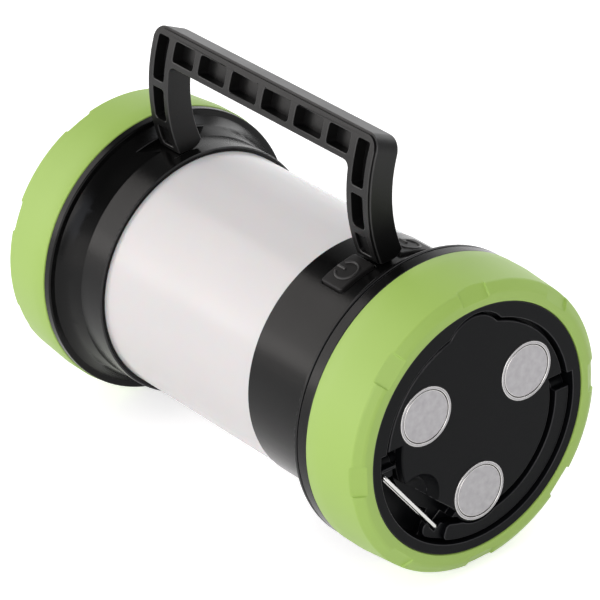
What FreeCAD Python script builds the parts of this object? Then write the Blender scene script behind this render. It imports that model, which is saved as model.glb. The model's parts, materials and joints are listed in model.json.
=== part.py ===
import FreeCAD
import Part
import math
import os
from FreeCAD import Vector

# Camping lantern lying on its side, in millimetres.
# X runs along the lantern, with the magnet base at +X and the spotlight lens at -X.
# Z is up, towards the carrying handle. Z = 0 is the floor under the two bumper rings.
# A station is a distance from the base face, measured along the lantern towards the lens.
# An angle goes round the lantern axis from +Y towards +Z.

# Overall sizes
LENGTH = 183.0
BUMPER_RADIUS = 49.9
AXIS_HEIGHT = BUMPER_RADIUS
BODY_RADIUS = 42.0
BODY_BORE = 40.4
SEAT_RADIUS = 45.3
FIT_GAP = 0.05
REACH = 200.0

# Bumper rings
BUMPER_LENGTH = 22.9
BUMPER_FACE_RADIUS = 45.8
BUMPER_BEVEL_DEPTH = 2.2
BUMPER_BEVEL_RADIUS = 48.7
BUMPER_TAPER_END = 16.0
LIP_RADIUS = 42.0
LIP_DEPTH = 3.0
NOTCH_COUNT = 8
NOTCH_WIDTH = 10.6
NOTCH_DEPTH = 1.4
NOTCH_LENGTH = 3.5
HEAD_RING_TURN = 21.0

# Diffuser and the sockets that hold it
DIFFUSER_RADIUS = 41.6
DIFFUSER_BORE = 39.2
DIFFUSER_SPIGOT = 40.35
CONTROL_END = 61.4
HEAD_START = 137.2
SEAL_THICKNESS = 1.0
LEDGE_STATION = 54.5
LEDGE_WIDTH = 1.5
LEDGE_BORE = 38.2
BULKHEAD_STATION = 144.9

# Control housing
CONTROL_FRONT = 5.6
FLOOR_STATION = 11.2
FLOOR_THICKNESS = 2.2
CONTROL_FLANGE_RADIUS = 49.7
CONTROL_FLANGE_END = 28.9
FLANGE_FILLET = 2.2
FLANGE_GROOVE = 27.0
GROOVE_WIDTH = 0.5
GROOVE_DEPTH = 0.6

# Head
NECK_RADIUS = 43.3
NECK_ROUND = 0.5
NECK_END = 148.0
FLARE_PROFILE = ((154.6, 45.2), (157.1, 47.4))
HEAD_FLANGE_RADIUS = 49.5
BULKHEAD_THICKNESS = 2.5
HEAD_BORE = 40.4
LENS_SEAT_STATION = 175.2
LENS_BORE = 41.9
LENS_THICKNESS = 2.5
LENS_RING_BORE = 38.6
LENS_RING_WIDTH = 2.2
REFLECTOR_THROAT = 5.5
REFLECTOR_START = 158.2
REFLECTOR_WALL = 1.2

# Handle: bent about a line along the lantern, which the ring-shaped blocks below are centred on.
# Angles along the arch go from the level of that line upwards; the front faces -Y.
HINGE_HEIGHT = 47.8
ARCH_Y = 48.5
ARCH_HEIGHT = 62.5
ARCH_FRONT = 56.7
ARCH_BACK = 47.3
ARCH_BOTTOM = -26.0
HANDLE_MIDDLE = 96.35
HANDLE_LENGTH = 113.1
LEG_WIDTH = 11.1
BAR_TOP = 24.9
BAR_UNDER = 13.0
HANDLE_CORNER = 5.0
HANDLE_INNER_CORNER = 2.4
REBATE_WIDTH = 0.85
REBATE_DEPTH = 0.6
POCKET_DEPTH = 4.2
FOOT_POCKET_DEPTH = 1.2
POCKET_CORNER = 1.1
BAR_POCKET_ANGLES = (15.1, 22.0)
BAR_POCKET_END = 12.1
LEG_POCKET_ANGLES = ((6.6, 22.0), (-7.75, 3.9))
FOOT_POCKET_ANGLES = (-18.4, -10.7)
LEG_POCKET = (3.2, 8.9)
RIB_PITCH = 16.25
RIB_COUNT = 5
HANDLE_RIB = 2.7
FOOT_RADIUS = 4.8
LUG_WIDTH = 5.1
LUG_RADIUS = 2.6
LUG_GAP = 0.3
SLOT_FRONT = 3.0
SLOT_HEIGHT = 4.6
FOOT_SEAT = 42.7
FOOT_SEAT_REACH = 14.0
PIVOT_RADIUS = 1.3
PIVOT_INSET = 1.0
RUNNING_GAP = 0.06

# Push buttons
BUTTON_ANGLES = {"power_button": 106.5, "mode_button": 73.5}
BUTTON_STATION = 46.7
BUTTON_LENGTH = 9.8
BUTTON_WIDTH = 14.2
BUTTON_CORNER = 1.0
BUTTON_TOP = 43.1
BUTTON_GAP = 0.3
BUTTON_FLANGE = 1.1
BUTTON_FLANGE_TOP = 40.0
BUTTON_FLANGE_BOTTOM = 38.8
BUTTON_STEM_END = 37.4

# Base face
COVER_FACE = 0.4
COVER_RADIUS = 41.9
COVER_BACK = 11.0
PLATE_FACE = 1.2
PLATE_SEAT = 4.6
PLATE_RADIUS = 35.3
PLATE_LOWER_RADIUS = 29.9
PLATE_STEP = 5.4
PLATE_EDGE = 0.6
LOBE_PITCH = 27.8
LOBE_RADIUS = 11.2
LOBE_EASE = 2.5
MOAT = 1.3
MAGNET_PITCH = 23.2
MAGNET_ANGLES = (30.0, 150.0, 270.0)
MAGNET_RADIUS = 9.9
MAGNET_RISE = 0.7
MAGNET_HEIGHT = 3.0
MAGNET_FACE = 0.9
CUP_WALL = 1.0
CUP_FLOOR = 0.8
MAGNET_BOSS = 10.6
SCOOP_ANGLE = 212.7
SCOOP_PITCH = 29.0
SCOOP_RADIUS = 9.5
SCOOP_HEIGHT = 2.5

# Snap hook folded into the base
GROOVE_RADIUS = 38.6
GROOVE_FLOOR = 7.0
POCKET_FLOOR = 9.6
POCKET_ANGLES = (186.0, 238.0)
HOOK_INNER = 32.2
HOOK_OUTER = 37.6
HOOK_FACE = 1.4
HOOK_BACK = 6.4
HOOK_SHOULDER = 247.0
HOOK_NOSE = 233.0
SHOULDER_ROUND = 1.6
HOOK_MAGNET_GAP = 0.5
TONGUE_FACE = 2.9
TONGUE_BACK = 5.1
KNUCKLE_RADIUS = 2.5
HOOK_BAR_RADIUS = 1.75
GATE_PIVOT_RADIUS = 36.4
GATE_PIVOT_ANGLE = 185.0
GATE_TIP_RADIUS = 34.1
GATE_TIP_ANGLE = 241.5
GATE_WIRE = 1.4
GATE_FACE_RUN = 1.9
GATE_BACK_RUN = 6.1
GATE_SWING = 12.0

# Inner parts
CORE_FLAT = 30.0
CORE_BORE = 28.0
CORE_FLANGE_RADIUS = 39.0
CORE_FLANGE = 1.5
STRIP_WIDTH = 10.0
STRIP_THICKNESS = 1.0
STRIP_ENDS = (62.0, 138.0)
LEDS_PER_STRIP = 8
LED_SIZE = 2.8
LED_HEIGHT = 0.8
CELL_RADIUS = 9.2
CELL_ENDS = (66.0, 131.0)
CELL_OFFSET = 9.35
CELL_DROP = 16.2
CRADLE_WALL = 4.0
BOARD_STATION = 48.2
BOARD_RADIUS = 37.0
BOARD_THICKNESS = 1.6
BOARD_TOP = 24.0
SCREW_PITCH = 17.0
SCREW_ANGLES = (90.0, 210.0, 330.0)
POST_PITCH = 32.0
POST_ANGLES = (195.0, 270.0, 345.0)
PEG_PITCH = 8.0
HEAD_SCREW_PITCH = 33.6
SWITCH_BOARD_TOP = 32.5

# Charging port on the hidden side
PORT_ANGLE = 320.0
PORT_STATION = 46.3
PORT_WIDTH = 10.2
PORT_HEIGHT = 4.6
FLAP_WIDTH = 8.4
FLAP_REACH = 8.0
FLAP_TOP = 43.2
FLAP_BOTTOM = 41.5
FLAP_GAP = 0.35
FLAP_HINGE = 9.6
FLAP_BARREL = 0.9


def at(station, y=0.0, z=0.0):
    """Point at a station, with its offsets from the lantern axis."""
    return Vector(LENGTH / 2 - station, y, AXIS_HEIGHT + z)


def polar(station, radius, angle):
    """Point at a station, given by radius and angle about the lantern axis."""
    turn = math.radians(angle)
    return at(station, radius * math.cos(turn), radius * math.sin(turn))


def around(shape, angle):
    """Copy of a shape turned about the lantern axis."""
    copy = shape.copy()
    copy.rotate(at(0), Vector(1, 0, 0), angle)
    return copy


def turned(profile):
    """Solid of revolution about the lantern axis from (station, radius) corners."""
    corners = [at(station, 0, radius) for station, radius in profile + profile[:1]]
    return Part.Face(Part.makePolygon(corners)).revolve(at(0), Vector(1, 0, 0), 360)


def tube(start, end, radius, bore=0.0):
    """Round bar or tube on the lantern axis between two stations."""
    return turned([(start, bore), (start, radius), (end, radius), (end, bore)])


def rod(start, end, radius, place, angle):
    """Round bar along the lantern, off its axis, between two stations."""
    return Part.makeCylinder(radius, end - start, polar(end, place, angle), Vector(1, 0, 0))


def block(stations, widths, heights):
    """Box from its ranges of station, y and height above the lantern axis."""
    corner = at(stations[1], widths[0], heights[0])
    size = (stations[1] - stations[0], widths[1] - widths[0], heights[1] - heights[0])
    return Part.makeBox(size[0], size[1], size[2], corner)


def sector(start, end, inner, outer, angles):
    """Part of a tube on the lantern axis between two angles."""
    steps = max(2, int((angles[1] - angles[0]) // 80) + 2)
    span = (angles[1] - angles[0]) / (steps - 1)
    fan = [polar(end, REACH, angles[0] + span * step) for step in range(steps)]
    wedge = Part.Face(Part.makePolygon([at(end)] + fan + [at(end)])).extrude(Vector(end - start, 0, 0))
    return tube(start, end, outer, inner).common(wedge)


def rounded_rims(shape, size, rims):
    """Fillet the circular edges that lie at the given (station, radius) places."""
    chosen = []
    for edge in shape.Edges:
        curve = edge.Curve
        if not isinstance(curve, Part.Circle):
            continue
        station = LENGTH / 2 - curve.Center.x
        if any(abs(station - s) < 0.01 and abs(curve.Radius - r) < 0.01 for s, r in rims):
            chosen.append(edge)
    return shape.makeFillet(size, chosen)


def mirrored_ends(shape):
    """The same piece at the other end of the lantern."""
    return shape.mirror(Vector(0, 0, 0), Vector(1, 0, 0))


# Bumper rings: a stretched sleeve with an inner lip, a bevelled end and notches in the bevel.
def bumper():
    ring = turned([
        (0, LIP_RADIUS), (0, BUMPER_FACE_RADIUS), (BUMPER_BEVEL_DEPTH, BUMPER_BEVEL_RADIUS),
        (BUMPER_TAPER_END, BUMPER_RADIUS), (BUMPER_LENGTH, BUMPER_RADIUS),
        (BUMPER_LENGTH, SEAT_RADIUS + FIT_GAP), (LIP_DEPTH, SEAT_RADIUS + FIT_GAP), (LIP_DEPTH, LIP_RADIUS)])
    ring = rounded_rims(ring, 0.6, [(0, BUMPER_FACE_RADIUS), (0, LIP_RADIUS), (BUMPER_LENGTH, BUMPER_RADIUS)])
    slope = (BUMPER_BEVEL_RADIUS - BUMPER_FACE_RADIUS) / BUMPER_BEVEL_DEPTH
    floor = BUMPER_FACE_RADIUS - NOTCH_DEPTH
    corners = [(-1, floor - slope), (NOTCH_LENGTH, floor + slope * NOTCH_LENGTH),
               (NOTCH_LENGTH, REACH), (-1, REACH), (-1, floor - slope)]
    outline = Part.makePolygon([at(s, -NOTCH_WIDTH / 2, r) for s, r in corners])
    notch = Part.Face(outline).extrude(Vector(0, NOTCH_WIDTH, 0))
    return ring.cut([around(notch, 360 / NOTCH_COUNT * step) for step in range(NOTCH_COUNT)])


# Base plate with the magnets, and the cover around it.
def plate_slab(start, end, grow):
    """The magnet plate's outline between two stations, grown by a gap all round."""
    upper = tube(start, end, PLATE_RADIUS + grow)
    upper = upper.common(block((start, end), (-REACH, REACH), (PLATE_STEP, REACH)))
    upper = upper.fuse(rod(start, end, LOBE_RADIUS + grow, LOBE_PITCH, 90)).removeSplitter()
    corners = [edge for edge in upper.Edges
               if edge.BoundBox.XLength > 0.1 and edge.BoundBox.ZMin > AXIS_HEIGHT + LOBE_PITCH
               and abs(edge.BoundBox.YMin) > LOBE_RADIUS / 2]
    upper = upper.makeFillet(LOBE_EASE - grow, corners)
    lower = tube(start, end, PLATE_LOWER_RADIUS)
    boss = magnet_bar(start, end, MAGNET_BOSS, MAGNET_ANGLES[2])
    return upper.fuse([lower, boss]).removeSplitter()


def magnet_bar(start, end, radius, angle):
    """Round bar in the place of one magnet."""
    bar = rod(start, end, radius, MAGNET_PITCH, angle)
    bar.translate(Vector(0, 0, MAGNET_RISE))
    return bar


def gate_points():
    """Pivot, tip and direction of the wire gate, seen along the lantern."""
    pivot = polar(0, GATE_PIVOT_RADIUS, GATE_PIVOT_ANGLE)
    tip = polar(0, GATE_TIP_RADIUS, GATE_TIP_ANGLE)
    run = tip - pivot
    return pivot, run.Length, run.normalize()


def along_gate(station, distance, aside=0.0):
    """Point beside the gate's line; aside is positive towards the lantern axis."""
    pivot, length, run = gate_points()
    across = Vector(0, -run.z, run.y)
    point = pivot + run * distance + across * aside
    return Vector(LENGTH / 2 - station, point.y, point.z)


def gate_clearance(start, end):
    """Space that the gate sweeps as it opens towards the lantern axis."""
    length = gate_points()[1] + 1.2
    far = length * math.tan(math.radians(GATE_SWING))
    corners = [along_gate(end, -1, -1.4), along_gate(end, length, -1.4),
               along_gate(end, length, far + 0.8), along_gate(end, -1, 0.8)]
    return Part.Face(Part.makePolygon(corners + corners[:1])).extrude(Vector(end - start, 0, 0))


def scoop():
    return Part.makeSphere(SCOOP_RADIUS, polar(-SCOOP_HEIGHT, SCOOP_PITCH, SCOOP_ANGLE))


def hook_axle(radius, reach, start=None):
    """Round bar across the lantern on the hook's hinge line, from -Y to +Y."""
    low = -reach if start is None else start
    return Part.makeCylinder(radius, reach - low, at(HOOK_BACK, low, 0), Vector(0, 1, 0))


def magnet_plate():
    plate = plate_slab(PLATE_FACE, PLATE_SEAT, 0)
    rims = [edge for edge in plate.Edges
            if abs(edge.BoundBox.XMax - at(PLATE_FACE).x) < 0.01 and edge.BoundBox.XLength < 0.01]
    plate = plate.makeFillet(PLATE_EDGE, rims)
    plate = plate.cut([scoop(), gate_clearance(-1, PLATE_SEAT + 1)])
    pockets = [magnet_bar(-1, MAGNET_FACE + MAGNET_HEIGHT, MAGNET_RADIUS, angle) for angle in MAGNET_ANGLES]
    pegs = [rod(PLATE_SEAT, PLATE_SEAT + 4, 1.8, PEG_PITCH, angle) for angle in SCREW_ANGLES]
    return plate.cut(pockets).fuse(pegs)


def magnet_cups():
    depth = MAGNET_FACE + MAGNET_HEIGHT
    cups = []
    for angle in MAGNET_ANGLES:
        cup = magnet_bar(MAGNET_FACE, depth, MAGNET_RADIUS, angle)
        well = magnet_bar(0, depth - CUP_FLOOR, MAGNET_RADIUS - CUP_WALL, angle)
        cups.append(cup.cut(well))
    return Part.makeCompound(cups)


def magnet_discs():
    depth = MAGNET_FACE + MAGNET_HEIGHT - CUP_FLOOR
    radius = MAGNET_RADIUS - CUP_WALL - 0.25
    return Part.makeCompound([magnet_bar(MAGNET_FACE + 0.1, depth, radius, angle) for angle in MAGNET_ANGLES])


def base_cover():
    cover = turned([
        (COVER_FACE, 0), (COVER_FACE, COVER_RADIUS), (LIP_DEPTH, COVER_RADIUS), (LIP_DEPTH, SEAT_RADIUS),
        (CONTROL_FRONT, SEAT_RADIUS), (CONTROL_FRONT, BODY_BORE - FIT_GAP), (COVER_BACK, BODY_BORE - FIT_GAP),
        (COVER_BACK, 0)])
    recess = plate_slab(-1, PLATE_SEAT, MOAT)
    groove = tube(-1, GROOVE_FLOOR, GROOVE_RADIUS)
    groove = groove.common(block((-1, GROOVE_FLOOR), (-REACH, REACH), (-REACH, PLATE_STEP)))
    pillar = tube(PLATE_SEAT, GROOVE_FLOOR, PLATE_LOWER_RADIUS)
    boss = magnet_bar(PLATE_SEAT, GROOVE_FLOOR, MAGNET_BOSS, MAGNET_ANGLES[2])
    pocket = sector(-1, POCKET_FLOOR, PLATE_LOWER_RADIUS, GROOVE_RADIUS, POCKET_ANGLES)
    cover = cover.cut([recess, groove.cut([pillar, boss]), pocket])
    bearing = hook_axle(HOOK_BAR_RADIUS + RUNNING_GAP, HOOK_INNER)
    mouth = block((0, HOOK_BACK), (-HOOK_INNER, HOOK_INNER),
                  (-HOOK_BAR_RADIUS - RUNNING_GAP, HOOK_BAR_RADIUS + RUNNING_GAP))
    knuckles = [hook_axle(KNUCKLE_RADIUS + 0.5, GROOVE_RADIUS, PLATE_LOWER_RADIUS + 1.4),
                hook_axle(KNUCKLE_RADIUS + 0.5, -PLATE_LOWER_RADIUS - 1.4, -GROOVE_RADIUS)]
    pegs = [rod(0, PLATE_SEAT + 4.4, 1.8, PEG_PITCH, angle) for angle in SCREW_ANGLES]
    heads = [rod(0, PLATE_SEAT + 2.6, 3.2, SCREW_PITCH, angle) for angle in SCREW_ANGLES]
    shanks = [rod(0, COVER_BACK, 1.6, SCREW_PITCH, angle) for angle in SCREW_ANGLES]
    cuts = [bearing, mouth, scoop(), gate_clearance(-1, GROOVE_FLOOR + 0.6)]
    return cover.cut(cuts + knuckles + pegs + heads + shanks)


def hook_body():
    arm = sector(HOOK_FACE, HOOK_BACK, HOOK_INNER, HOOK_OUTER, (HOOK_SHOULDER, 360))
    shoulder = [edge for edge in arm.Edges
                if edge.BoundBox.XLength > 0.1 and edge.BoundBox.ZMax < AXIS_HEIGHT - HOOK_INNER / 2]
    arm = arm.makeFillet(SHOULDER_ROUND, shoulder)
    middle = (HOOK_INNER + HOOK_OUTER) / 2
    half = (HOOK_OUTER - HOOK_INNER) / 2
    nose_middle = HOOK_NOSE + math.degrees(half / middle)
    nose = sector(TONGUE_FACE, TONGUE_BACK, HOOK_INNER, HOOK_OUTER, (nose_middle, HOOK_SHOULDER + 4))
    nose = nose.fuse(rod(TONGUE_FACE, TONGUE_BACK, half, middle, nose_middle))
    notch_start = gate_points()[1] - 2.2
    corners = [along_gate(TONGUE_BACK, notch_start, -1.1), along_gate(TONGUE_BACK, notch_start + 2.6, -1.1),
               along_gate(TONGUE_BACK, notch_start + 2.6, 9), along_gate(TONGUE_BACK, notch_start, 9)]
    outline = Part.makePolygon(corners + corners[:1])
    notch = Part.Face(outline).extrude(Vector(TONGUE_BACK - TONGUE_FACE, 0, 0))
    nose = nose.cut(notch)
    scallop = magnet_bar(HOOK_FACE, HOOK_BACK, MAGNET_BOSS + HOOK_MAGNET_GAP, MAGNET_ANGLES[2])
    arm = arm.fuse(nose).cut(scallop)
    root = block((HOOK_FACE, HOOK_BACK), (-HOOK_OUTER, -HOOK_INNER), (-1.0, 0))
    root = root.fuse(block((TONGUE_FACE, TONGUE_BACK), (-GATE_PIVOT_RADIUS, -HOOK_INNER), (-4.4, 0)))
    pivot = along_gate(TONGUE_BACK, 0)
    root = root.fuse(Part.makeCylinder(1.7, TONGUE_BACK - TONGUE_FACE, pivot, Vector(1, 0, 0)))
    eye = Part.makeCylinder(GATE_WIRE / 2 + RUNNING_GAP, HOOK_BACK, along_gate(HOOK_BACK, 0), Vector(1, 0, 0))
    knuckles = [hook_axle(KNUCKLE_RADIUS, HOOK_OUTER, HOOK_INNER),
                hook_axle(KNUCKLE_RADIUS, -HOOK_INNER, -HOOK_OUTER)]
    body = arm.fuse([root, hook_axle(HOOK_BAR_RADIUS, HOOK_INNER + 1)] + knuckles)
    return body.cut(eye)


def hook_gate():
    """Bent wire: two runs joined by a bend at the nose, with both ends turned into the hook's eye."""
    length = gate_points()[1] - GATE_WIRE / 2
    bend = (GATE_BACK_RUN - GATE_FACE_RUN) / 2
    middle = (GATE_BACK_RUN + GATE_FACE_RUN) / 2
    corner = 1.0
    ease = corner * (1 - math.sqrt(0.5))
    first, last = middle - 0.2, middle + 0.2
    straight = length - bend
    path = [
        Part.LineSegment(along_gate(first, 0), along_gate(GATE_FACE_RUN + corner, 0)),
        Part.Arc(along_gate(GATE_FACE_RUN + corner, 0), along_gate(GATE_FACE_RUN + ease, ease),
                 along_gate(GATE_FACE_RUN, corner)),
        Part.LineSegment(along_gate(GATE_FACE_RUN, corner), along_gate(GATE_FACE_RUN, straight)),
        Part.Arc(along_gate(GATE_FACE_RUN, straight), along_gate(middle, length),
                 along_gate(GATE_BACK_RUN, straight)),
        Part.LineSegment(along_gate(GATE_BACK_RUN, straight), along_gate(GATE_BACK_RUN, corner)),
        Part.Arc(along_gate(GATE_BACK_RUN, corner), along_gate(GATE_BACK_RUN - ease, ease),
                 along_gate(GATE_BACK_RUN - corner, 0)),
        Part.LineSegment(along_gate(GATE_BACK_RUN - corner, 0), along_gate(last, 0))]
    spine = Part.Wire([piece.toShape() for piece in path])
    section = Part.Wire(Part.makeCircle(GATE_WIRE / 2, along_gate(first, 0), Vector(1, 0, 0)))
    return spine.makePipeShell([section], True, False)


# Control housing, its buttons and its charging port.
def foot_starts():
    """Lower stations of the two handle feet: near the base and near the head."""
    near = HANDLE_MIDDLE - HANDLE_LENGTH / 2
    return near, near + HANDLE_LENGTH - LEG_WIDTH


def handle_lug(foot_start, root):
    """Upright lug that stands between the cheeks of a handle foot, with its pivot bore."""
    start = foot_start + (LEG_WIDTH - LUG_WIDTH) / 2
    stem = block((start, start + LUG_WIDTH), (-LUG_RADIUS, LUG_RADIUS), (root, HINGE_HEIGHT))
    end = rod(start, start + LUG_WIDTH, LUG_RADIUS, HINGE_HEIGHT, 90)
    bore = rod(start, start + LUG_WIDTH, PIVOT_RADIUS + RUNNING_GAP, HINGE_HEIGHT, 90)
    return stem.fuse(end), bore


def button_block(grow, low, high):
    """Block of a button's outline about the top of the housing, between two radii."""
    half = BUTTON_LENGTH / 2 + grow
    side = BUTTON_WIDTH / 2 + grow
    pad = block((BUTTON_STATION - half, BUTTON_STATION + half), (-side, side), (0, REACH))
    uprights = [edge for edge in pad.Edges if abs(edge.tangentAt(edge.FirstParameter).z) > 0.9]
    pad = pad.makeFillet(BUTTON_CORNER, uprights)
    return pad.common(tube(0, LENGTH, high, low))


def port_flap_block(grow, low, high):
    half = FLAP_WIDTH / 2 + grow
    flap = block((PORT_STATION - half, PORT_STATION + half), (-FLAP_REACH - grow, FLAP_HINGE), (0, REACH))
    return flap.common(tube(0, LENGTH, high, low))


def port_barrel(grow):
    half = FLAP_WIDTH / 2 + grow
    middle = (FLAP_TOP + FLAP_BOTTOM) / 2 - 0.6
    foot = at(PORT_STATION + half, FLAP_HINGE, middle)
    return Part.makeCylinder(FLAP_BARREL + grow, 2 * half, foot, Vector(1, 0, 0))


def control_housing():
    flange_end = CONTROL_FLANGE_END
    floor_end = FLOOR_STATION + FLOOR_THICKNESS
    ledge_start = LEDGE_STATION - LEDGE_WIDTH
    shell = turned([
        (CONTROL_FRONT, BODY_BORE), (CONTROL_FRONT, SEAT_RADIUS), (BUMPER_LENGTH, SEAT_RADIUS),
        (BUMPER_LENGTH, CONTROL_FLANGE_RADIUS), (flange_end, CONTROL_FLANGE_RADIUS),
        (flange_end, BODY_RADIUS), (CONTROL_END, BODY_RADIUS), (CONTROL_END, BODY_BORE),
        (LEDGE_STATION, BODY_BORE), (LEDGE_STATION, LEDGE_BORE), (ledge_start, LEDGE_BORE),
        (ledge_start, BODY_BORE)])
    shell = rounded_rims(shell, FLANGE_FILLET, [(flange_end, BODY_RADIUS)])
    shell = rounded_rims(shell, 0.6, [(flange_end, CONTROL_FLANGE_RADIUS)])
    shell = rounded_rims(shell, 0.3, [(CONTROL_END, BODY_RADIUS)])
    groove = tube(FLANGE_GROOVE, FLANGE_GROOVE + GROOVE_WIDTH, REACH, CONTROL_FLANGE_RADIUS - GROOVE_DEPTH)
    floor = tube(FLOOR_STATION, floor_end, BODY_BORE + 0.5)
    bosses = [rod(floor_end - 1, 24, 3.4, SCREW_PITCH, angle) for angle in SCREW_ANGLES]
    posts = [rod(floor_end - 1, BOARD_STATION, 3.0, POST_PITCH, angle) for angle in POST_ANGLES]
    lug, bore = handle_lug(foot_starts()[0], BODY_BORE + 0.6)
    ribs = []
    holes = []
    for angle in BUTTON_ANGLES.values():
        for station in (38.4, ledge_start):
            rib = block((station, station + 1.2), (-5, 5), (SWITCH_BOARD_TOP, BODY_BORE + 0.4))
            ribs.append(around(rib, angle - 90))
        holes.append(around(button_block(BUTTON_GAP, BODY_BORE - 2, BODY_RADIUS + 2), angle - 90))
    mouth = block((PORT_STATION - PORT_HEIGHT / 2, PORT_STATION + PORT_HEIGHT / 2),
                  (-PORT_WIDTH / 2, PORT_WIDTH / 2), (BODY_BORE - 2, REACH))
    port = [mouth, port_flap_block(FLAP_GAP, FLAP_BOTTOM - FLAP_GAP, REACH), port_barrel(FLAP_GAP)]
    pilots = [rod(FLOOR_STATION, 22, 1.3, SCREW_PITCH, angle) for angle in SCREW_ANGLES]
    pilots += [rod(38, BOARD_STATION, 1.0, POST_PITCH, angle) for angle in POST_ANGLES]
    housing = shell.fuse([floor, lug] + bosses + posts + ribs)
    return housing.cut([bore, groove] + holes + pilots + [around(cut, PORT_ANGLE - 90) for cut in port])


def button(angle):
    pad = button_block(0, BUTTON_FLANGE_BOTTOM, BUTTON_TOP)
    flange = button_block(BUTTON_FLANGE, BUTTON_FLANGE_BOTTOM, BUTTON_FLANGE_TOP)
    stem = Part.makeCylinder(2.0, 3.0, at(BUTTON_STATION, 0, BUTTON_STEM_END), Vector(0, 0, 1))
    top = [edge for edge in pad.Edges if edge.BoundBox.ZMin > AXIS_HEIGHT + BUTTON_TOP - 2.0]
    return around(pad.makeFillet(0.5, top).fuse([flange, stem]), angle - 90)


def port_cover():
    flap = port_flap_block(0, FLAP_BOTTOM, FLAP_TOP)
    plug = block((PORT_STATION - 1.7, PORT_STATION + 1.7), (-4.3, 4.3),
                 (FLAP_BOTTOM - 1.1, FLAP_BOTTOM + 0.8))
    return around(flap.fuse([plug, port_barrel(0)]).removeSplitter(), PORT_ANGLE - 90)


def main_board():
    board = tube(BOARD_STATION, BOARD_STATION + BOARD_THICKNESS, BOARD_RADIUS)
    board = board.common(block((0, LENGTH), (-REACH, REACH), (-REACH, BOARD_TOP)))
    slot = tube(0, LENGTH, 5.0)
    holes = [rod(0, LENGTH, 1.4, POST_PITCH, angle) for angle in POST_ANGLES]
    return board.cut([slot] + holes)


def board_components():
    """Inductor, capacitors and chips on the side of the board that faces the base."""
    face = BOARD_STATION
    coil = rod(face - 6.0, face, 5.5, 20, 235)
    cans = [rod(face - 9.0, face, 3.2, 22, angle) for angle in (160, 185)]
    places = ((8, 12), (-8, 14), (10, -10))
    chips = [block((face - 1.6, face), (y - 4, y + 4), (z - 3, z + 3)) for y, z in places]
    return Part.makeCompound([coil] + cans + chips)


def charge_socket():
    """Socket shell on the board's edge, with its mouth at the port."""
    shell = block((BOARD_STATION - 3.2, BOARD_STATION), (-4.5, 4.5), (32.4, 40.0))
    mouth = block((BOARD_STATION - 2.8, BOARD_STATION - 0.4), (-4.1, 4.1), (33.6, REACH))
    return around(shell.cut(mouth), PORT_ANGLE - 90)


def switch_boards():
    low = SWITCH_BOARD_TOP - BOARD_THICKNESS
    board = block((38.4, LEDGE_STATION - 0.3), (-6, 6), (low, SWITCH_BOARD_TOP))
    return Part.makeCompound([around(board, angle - 90) for angle in BUTTON_ANGLES.values()])


def tact_switches():
    body = block((BUTTON_STATION - 3, BUTTON_STATION + 3), (-3, 3), (SWITCH_BOARD_TOP, 35.6))
    cap = Part.makeCylinder(1.6, 0.8, at(BUTTON_STATION, 0, 35.6), Vector(0, 0, 1))
    switch = body.fuse(cap)
    return Part.makeCompound([around(switch, angle - 90) for angle in BUTTON_ANGLES.values()])


# Light column, its strips and the cells.
def diffuser_tube():
    """Tube with a stepped-down end that slides into the control housing."""
    start, end = LEDGE_STATION + SEAL_THICKNESS, BULKHEAD_STATION - SEAL_THICKNESS
    shoulder = CONTROL_END + FIT_GAP
    return turned([(start, DIFFUSER_BORE), (start, DIFFUSER_SPIGOT), (shoulder, DIFFUSER_SPIGOT),
                   (shoulder, DIFFUSER_RADIUS), (end, DIFFUSER_RADIUS), (end, DIFFUSER_BORE)])


def seal(start, radius):
    return tube(start, start + SEAL_THICKNESS, radius, DIFFUSER_BORE)


def light_core():
    """Six-sided tube between two round flanges, with screw bosses at the head end."""
    corner = CORE_FLAT / math.cos(math.radians(30))
    outline = [polar(BULKHEAD_STATION, corner, 60 * step) for step in range(7)]
    length = BULKHEAD_STATION - LEDGE_STATION
    core = Part.Face(Part.makePolygon(outline)).extrude(Vector(length, 0, 0))
    flanges = [tube(LEDGE_STATION, LEDGE_STATION + CORE_FLANGE, CORE_FLANGE_RADIUS),
               tube(BULKHEAD_STATION - CORE_FLANGE, BULKHEAD_STATION, CORE_FLANGE_RADIUS)]
    bosses = [rod(138.5, BULKHEAD_STATION, 3.2, HEAD_SCREW_PITCH, angle) for angle in SCREW_ANGLES]
    pilots = [rod(139.5, BULKHEAD_STATION, 1.3, HEAD_SCREW_PITCH, angle) for angle in SCREW_ANGLES]
    bore = tube(LEDGE_STATION, BULKHEAD_STATION, CORE_BORE)
    return core.fuse(flanges + bosses).cut([bore] + pilots)


def led_strips():
    strip = block(STRIP_ENDS, (-STRIP_WIDTH / 2, STRIP_WIDTH / 2), (CORE_FLAT, CORE_FLAT + STRIP_THICKNESS))
    return Part.makeCompound([around(strip, 60 * step) for step in range(6)])


def strip_leds():
    base = CORE_FLAT + STRIP_THICKNESS
    pitch = (STRIP_ENDS[1] - STRIP_ENDS[0]) / LEDS_PER_STRIP
    leds = []
    for step in range(LEDS_PER_STRIP):
        middle = STRIP_ENDS[0] + pitch * (step + 0.5)
        led = block((middle - LED_SIZE / 2, middle + LED_SIZE / 2), (-LED_SIZE / 2, LED_SIZE / 2),
                    (base, base + LED_HEIGHT))
        leds += [around(led, 60 * side) for side in range(6)]
    return Part.makeCompound(leds)


def cell_bars(start, end, radius):
    """Round bars in the places of the two cells."""
    return [Part.makeCylinder(radius, end - start, at(end, side * CELL_OFFSET, -CELL_DROP), Vector(1, 0, 0))
            for side in (-1, 1)]


def cell_cradle():
    start, end = CELL_ENDS
    cradle = tube(start - CRADLE_WALL, end + CRADLE_WALL, CORE_BORE)
    upper = block((start, end), (-REACH, REACH), (-CELL_DROP, REACH))
    return cradle.cut([upper] + cell_bars(start, end, CELL_RADIUS))


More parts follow.
